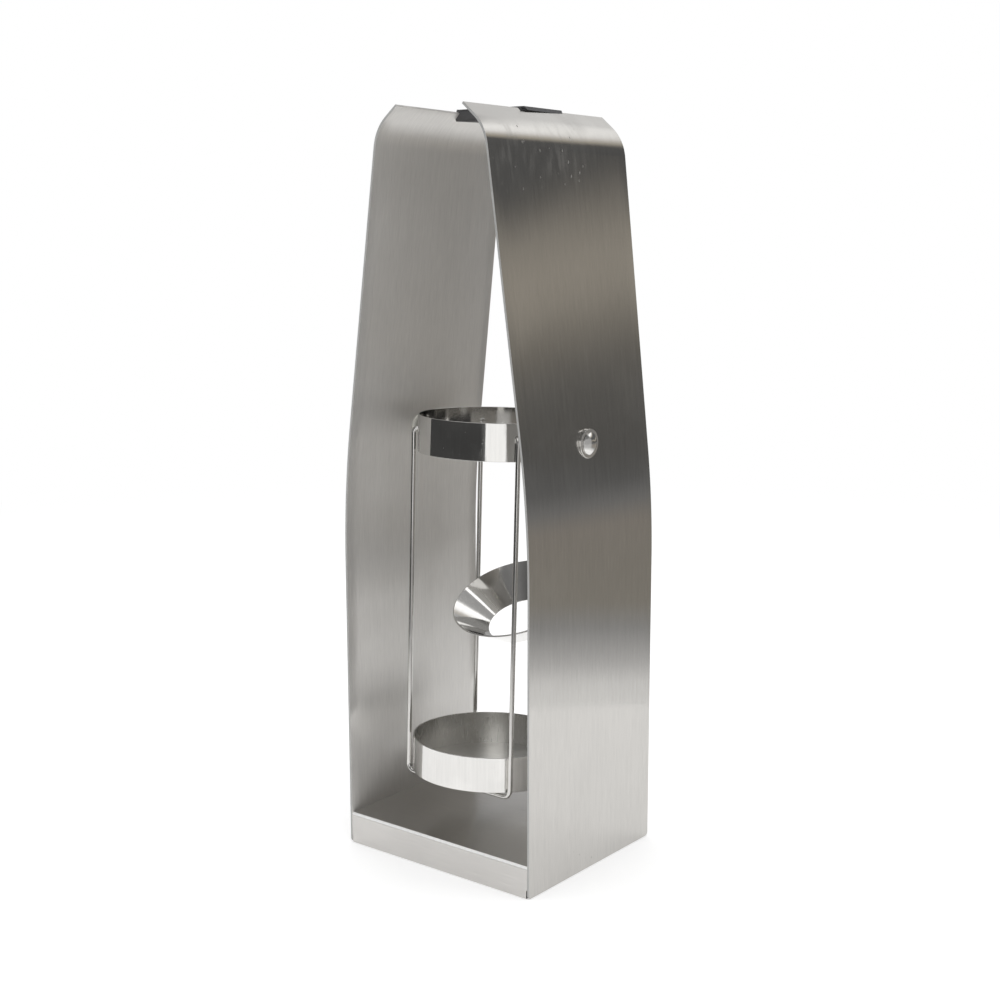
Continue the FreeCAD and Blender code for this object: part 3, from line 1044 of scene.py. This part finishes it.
class CRADLE_OT_pivots(bpy.types.Operator):
    """Copies the pivot bolts, spacers, bosses, washers and bushes and rounds their edges"""

    bl_idname = "cradle.pivots"
    bl_label = "Pivots"

    def execute(self, context):
        parts = (
            ("pivot_bolt", "bolt", "cradle", "fastener_steel", EDGE_ROUNDING),
            ("pivot_spacer", "spacer", "cradle", "fastener_steel", EDGE_ROUNDING),
            ("ring_boss", "boss", "cradle", "polished_steel", BOSS_ROUNDING),
            ("pivot_washer", "washer", "frame", "fastener_steel", EDGE_ROUNDING),
            ("pivot_bush", "bush", "frame", "bush_nylon", BUSH_ROUNDING),
        )
        for side in ("right", "left"):
            for node, short, body, slot, width in parts:
                piece = softened(f"{side}_{node}", f"{side}_{short}", width)
                settle(piece, body, f"{side}_{node}", slot)
        return {"FINISHED"}


class CRADLE_OT_clip(bpy.types.Operator):
    """Cuts the rubber clip that bridges the lips"""

    bl_idname = "cradle.clip"
    bl_label = "Clip"

    def execute(self, context):
        piece = softened("top_bridge_clip", "rubber_clip", CLIP_ROUNDING, self.slant_caps)
        settle(piece, "frame", "top_bridge_clip", "clip_rubber")
        return {"FINISHED"}

    def slant_caps(self, piece):
        """Cuts each cap back at one end and lets the clip's top sink at its middle and its rear."""
        top = max(vertex.co.z for vertex in piece.data.vertices)
        low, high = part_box("top_bridge_clip")
        outer = high.x - CLIP_CAP_REACH
        for side, end in ((1, low.y + CLIP_END), (-1, high.y - CLIP_END)):
            for upper, lower, cut in CLIP_CUTS:
                pick(piece, lambda co: (
                    co.x * side > outer and upper < top - co.z < lower and (co.y - end) * side < 0
                ))
                bpy.ops.transform.translate(value=(0, cut * side, 0))
        pick(piece, lambda co: abs(co.x) < CLIP_CLOSE and top - co.z < CLIP_CLOSE and co.y < 0)
        bpy.ops.transform.translate(value=(0, 0, -CLIP_MIDDLE_SINK))
        pick(piece, lambda co: co.x > outer and top - co.z < CLIP_LIP_DEPTH and co.y > CLIP_REAR_START)
        bpy.ops.transform.translate(value=(0, 0, -CLIP_REAR_SINK))


# Studio


def seen_by_eye(tree):
    """1 for what the camera or the metal looks at, and 0 for the light that falls on things."""
    ray = add(tree, "LightPath").outputs
    first = calculate(tree, "MAXIMUM", ray["Is Camera Ray"], ray["Is Glossy Ray"])
    return calculate(tree, "MAXIMUM", first, ray["Is Transmission Ray"])


def reflected_only(card, material):
    """Makes a studio card that shows in the metal's reflections and nowhere else."""
    card.data.materials.append(material)
    card.visible_camera = False
    card.visible_diffuse = False
    card.visible_shadow = False


def disc(name, inner, outer, height):
    """A flat disc or washer-shaped card on the floor."""
    clear_selection()
    bpy.ops.mesh.primitive_circle_add(
        vertices=DISC_CORNERS, radius=outer, fill_type="NGON", location=(0, 0, height)
    )
    card = just_added(name)
    start_editing()
    pick_all()
    if inner > 0:
        bpy.ops.mesh.inset(thickness=outer - inner)
        bpy.ops.mesh.delete(type="FACE")
    stop_editing()
    return card


def upright_card(name, azimuth, away, low, high, width):
    """A standing rectangle that faces the middle, seen at an azimuth in degrees from +X."""
    angle = math.radians(azimuth)
    clear_selection()
    bpy.ops.mesh.primitive_plane_add(
        size=1, location=(away * math.cos(angle), away * math.sin(angle), (low + high) / 2),
        rotation=(QUARTER_TURN, 0, angle + QUARTER_TURN),
    )
    card = named(name)
    card.scale = (width, high - low, 1)
    return card


def glow_only(tree, shader, colour, strength=1):
    """Makes a shader give light of a colour and reflect nothing."""
    set_sockets(tree, shader, {
        "Base Color": (0, 0, 0, 1),
        "Specular IOR Level": 0,
        "Emission Color": colour,
        "Emission Strength": strength,
    })


def glow_material(name, strength):
    material, tree, shader = new_material(name)
    glow_only(tree, shader, (1, 1, 1, 1), strength)
    return material


def ramp(tree, value, low, high, stops):
    """Levels along a value from low to high; a level is a grey or a colour."""
    reach = add(tree, "MapRange", {"Value": value, "From Min": low, "From Max": high}).outputs["Result"]
    node = add(tree, "ValToRGB", {"Fac": reach})
    elements = node.color_ramp.elements
    while len(elements) < len(stops):
        elements.new(1)
    for element, (place, colour) in zip(elements, stops):
        element.position = (place - low) / (high - low)
        element.color = list(colour) + [1] if isinstance(colour, tuple) else [colour] * 3 + [1]
    return node.outputs["Color"]


def towards(tree, azimuth, start, end):
    """Runs from 0 to 1 as a card's point turns towards an azimuth in degrees."""
    unit = vector(tree, "NORMALIZE", vector(tree, "MULTIPLY", on_object(tree), (1, 1, 0)))
    angle = math.radians(azimuth)
    facing = vector(tree, "DOT_PRODUCT", unit, (math.cos(angle), math.sin(angle), 0))
    return fade(tree, facing, math.cos(math.radians(start)), math.cos(math.radians(end)))


def sectors(tree, banded, dark, bright, grey):
    """Puts the four kinds of wall or floor round the cradle."""
    colour = grey
    for level, place in zip((dark, bright, banded), SECTORS):
        sockets = {"Factor": towards(tree, *place), "A": colour, "B": level}
        colour = add(tree, "Mix", sockets, data_type="RGBA").outputs["Result"]
    return colour


def room_material():
    """Walls with the soft bands that show in the brushed sides."""
    material, tree, shader = new_material("studio_room")
    parts = add(tree, "SeparateXYZ", {0: on_object(tree)})
    height = parts.outputs["Z"]
    along_x = calculate(tree, "MULTIPLY", parts.outputs["X"], math.sin(BAND_AZIMUTH))
    along_y = calculate(tree, "MULTIPLY", parts.outputs["Y"], math.cos(BAND_AZIMUTH))
    sideways = calculate(tree, "SUBTRACT", along_y, along_x)
    sideways = calculate(tree, "MAXIMUM", BAND_ENDS[0], calculate(tree, "MINIMUM", BAND_ENDS[1], sideways))
    tilt = calculate(tree, "MULTIPLY", sideways, fade(tree, height, *BAND_TILT_FADE, BAND_TILT, 0))
    banded_height = calculate(tree, "ADD", height, tilt)
    walls = [ramp(tree, banded_height, WALL_LOW, WALL_HIGH, BANDED_WALL)]
    for stops in (DARK_WALL, BRIGHT_WALL, GREY_WALL):
        walls.append(ramp(tree, height, WALL_LOW, WALL_HIGH, stops))
    glow_only(tree, shader, sectors(tree, *walls))
    return material


def mat_material():
    """The floor beyond the white table, which fades into the room."""
    material, tree, shader = new_material("studio_mat")
    away = vector(tree, "LENGTH", on_object(tree))
    kinds = (BANDED_FLOOR, DARK_FLOOR, BRIGHT_FLOOR, GREY_FLOOR)
    floors = [ramp(tree, away, 0, ROOM_RADIUS, stops) for stops in kinds]
    glow_only(tree, shader, sectors(tree, *floors))
    return material


class CRADLE_OT_studio(bpy.types.Operator):
    """Sets up the floor, the lights and the camera"""

    bl_idname = "cradle.studio"
    bl_label = "Studio"

    def execute(self, context):
        scene = context.scene
        scene.view_settings.view_transform = "Standard"
        self.add_camera(scene)
        self.add_floor()
        self.add_world(scene)
        self.add_surround()
        self.add_softboxes()
        self.add_lamp()
        return {"FINISHED"}

    def add_camera(self, scene):
        look = studio()
        lens = bpy.data.cameras.new("camera")
        lens.lens = look.lens
        camera = bpy.data.objects.new("camera", lens)
        scene.collection.objects.link(camera)
        aim = Matrix.Rotation(look.camera_turn, 4, "Z")
        aim = aim @ Matrix.Rotation(QUARTER_TURN - look.camera_pitch, 4, "X")
        aim = aim @ Matrix.Rotation(look.camera_roll, 4, "Z")
        camera.matrix_world = Matrix.Translation(look.camera_place) @ aim
        scene.camera = camera

    def add_floor(self):
        """A pale floor that keeps the shadow near the cradle and fades into the white background."""
        floor = disc("studio_floor", 0, FLOOR_RADIUS, -FLOOR_GAP)
        material, tree, shader = new_material("studio_floor")
        away = vector(tree, "LENGTH", on_object(tree))
        far = fade(tree, away, *FLOOR_FADE)
        shade = calculate(tree, "MULTIPLY_ADD", far, -FLOOR_SHADE, FLOOR_SHADE)
        grey = add(tree, "CombineColor", {0: shade, 1: shade, 2: shade}).outputs[0]
        lift = calculate(tree, "MULTIPLY_ADD", far, 1 - studio().floor_lift, studio().floor_lift)
        set_sockets(tree, shader, {
            "Base Color": grey,
            "Roughness": 1,
            "Specular IOR Level": 0,
            "Emission Color": (1, 1, 1, 1),
            "Emission Strength": calculate(tree, "MULTIPLY", seen_by_eye(tree), lift),
        })
        floor.data.materials.append(material)

    def add_world(self, scene):
        """White where the camera and the metal look, and a plain soft light elsewhere."""
        world = bpy.data.worlds.new("studio_world")
        scene.world = world
        world.use_nodes = True
        tree = world.node_tree
        sky = studio().sky_light
        level = calculate(tree, "MULTIPLY_ADD", seen_by_eye(tree), 1 - sky, sky)
        set_sockets(tree, tree.nodes["Background"], {"Color": (1, 1, 1, 1), "Strength": level})

    def add_surround(self):
        """The dim room that the metal reflects beyond the white table."""
        clear_selection()
        bpy.ops.mesh.primitive_uv_sphere_add(
            segments=ROOM_CORNERS, ring_count=ROOM_RINGS, radius=ROOM_RADIUS
        )
        room = just_added("studio_room")
        reflected_only(room, room_material())
        mat = disc("studio_mat", TABLE_RADIUS, ROOM_RADIUS, FLOOR_GAP)
        reflected_only(mat, mat_material())

    def add_softboxes(self):
        """A softbox by the camera, for the ring, and a strip at the rear, for the cone."""
        for name, azimuth, low, high, width, glow in SOFTBOXES:
            box = upright_card(name, azimuth, SOFTBOX_AWAY, low, high, width)
            reflected_only(box, glow_material(name, glow))

    def add_lamp(self):
        """A large lamp overhead; the metal sees the softboxes instead of it."""
        light = bpy.data.lights.new("lamp_top", "AREA")
        light.size = LAMP_SIZE
        light.energy = studio().lamp_power
        lamp = bpy.data.objects.new("lamp_top", light)
        bpy.context.scene.collection.objects.link(lamp)
        lamp.location = LAMP_PLACE
        lamp.visible_glossy = False


class CRADLE_PT_panel(bpy.types.Panel):
    """Lists the steps that build the cradle"""

    bl_idname = "CRADLE_PT_panel"
    bl_label = "Bottle cradle"
    bl_space_type = "VIEW_3D"
    bl_region_type = "UI"
    bl_category = "Cradle"

    def draw(self, context):
        for step in STEPS:
            self.layout.operator(step.bl_idname)


STEPS = (
    CRADLE_OT_sides,
    CRADLE_OT_tray,
    CRADLE_OT_ring,
    CRADLE_OT_dish,
    CRADLE_OT_wires,
    CRADLE_OT_collar,
    CRADLE_OT_pivots,
    CRADLE_OT_clip,
    CRADLE_OT_studio,
)
GROUPS = {
    "cradle_sides": CradleSideSizes,
    "cradle_tray": CradleTraySizes,
    "cradle_hanger": CradleHangerSizes,
    "cradle_finish": CradleFinish,
    "cradle_studio": CradleStudio,
}


def register():
    for name, group in GROUPS.items():
        bpy.utils.register_class(group)
        setattr(bpy.types.Scene, name, PointerProperty(type=group))
    for step in STEPS:
        bpy.utils.register_class(step)
    bpy.utils.register_class(CRADLE_PT_panel)


def unregister():
    bpy.utils.unregister_class(CRADLE_PT_panel)
    for step in reversed(STEPS):
        bpy.utils.unregister_class(step)
    for name, group in GROUPS.items():
        delattr(bpy.types.Scene, name)
        bpy.utils.unregister_class(group)


def main():
    register()
    bpy.ops.cradle.sides()
    bpy.ops.cradle.tray()
    bpy.ops.cradle.ring()
    bpy.ops.cradle.dish()
    bpy.ops.cradle.wires()
    bpy.ops.cradle.collar()
    bpy.ops.cradle.pivots()
    bpy.ops.cradle.clip()
    bpy.ops.cradle.studio()


if __name__ == "__main__":
    main()
